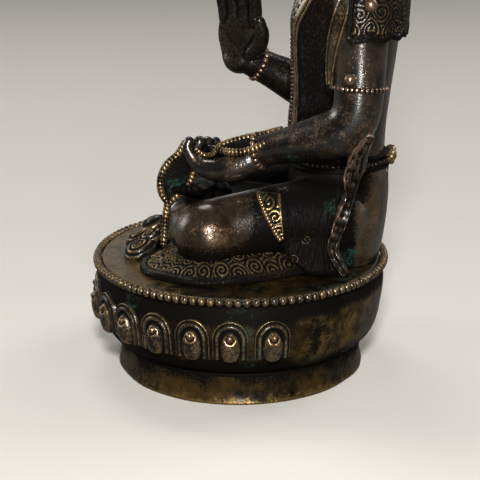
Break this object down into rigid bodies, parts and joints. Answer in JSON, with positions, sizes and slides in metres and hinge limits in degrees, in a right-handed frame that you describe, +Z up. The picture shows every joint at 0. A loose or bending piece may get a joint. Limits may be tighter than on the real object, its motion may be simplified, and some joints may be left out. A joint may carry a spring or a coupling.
{
  "type": "devotional statuette",
  "caption": "Cast bronze statuette of a seated crowned figure with one hand raised and one in its lap, on an oval lotus base with a beaded rim and a sealed foot.",
  "frame": {"origin": "centre of the underside of the base, on the surface that it stands on", "axes": "+Z up, the figure faces -Y, +X towards its own left hand"},
  "size_m": [0.094, 0.0822, 0.1664],
  "materials": {
    "bronze_base": "dark brown patina, worn to copper on the raised petals and beads",
    "bronze_body": "dark brown patina, rubbed to a warm copper sheen on knees and arms",
    "bronze_dress": "dark brown patina with brassy worn edges on chased borders",
    "bronze_jewels": "worn bronze, darker in the hollows",
    "copper_sheet": "dull hammered copper",
    "wood": "bare whittled wood",
    "paper": "rolled hand-made paper"
  },
  "bodies": {
    "root": {"sealing_plate": "copper_sheet", "base_plinth": "bronze_base", "lotus_drum": "bronze_base", "rim_beads": "bronze_base", "life_tree": "wood", "paper_rolls": "paper", "seat_cloth": "bronze_dress", "seat_tangs": "copper_sheet", "crossed_legs": "bronze_body", "torso": "bronze_body", "belt": "bronze_dress", "shoulder_cape": "bronze_dress", "necklace": "bronze_jewels", "chest_garland": "bronze_jewels", "left_upper_arm": "bronze_body", "right_upper_arm": "bronze_body", "left_forearm": "bronze_body", "right_forearm": "bronze_body", "left_hand": "bronze_body", "right_hand": "bronze_body", "left_armlet": "bronze_jewels", "right_armlet": "bronze_jewels", "left_bracelet": "bronze_jewels", "right_bracelet": "bronze_jewels", "left_scarf": "bronze_dress", "right_scarf": "bronze_dress", "hand_garland": "bronze_jewels", "head": "bronze_body", "crown": "bronze_jewels", "topknot_jewel": "bronze_jewels", "left_ear_disc": "bronze_jewels", "right_ear_disc": "bronze_jewels"}
  },
  "joints": []
}
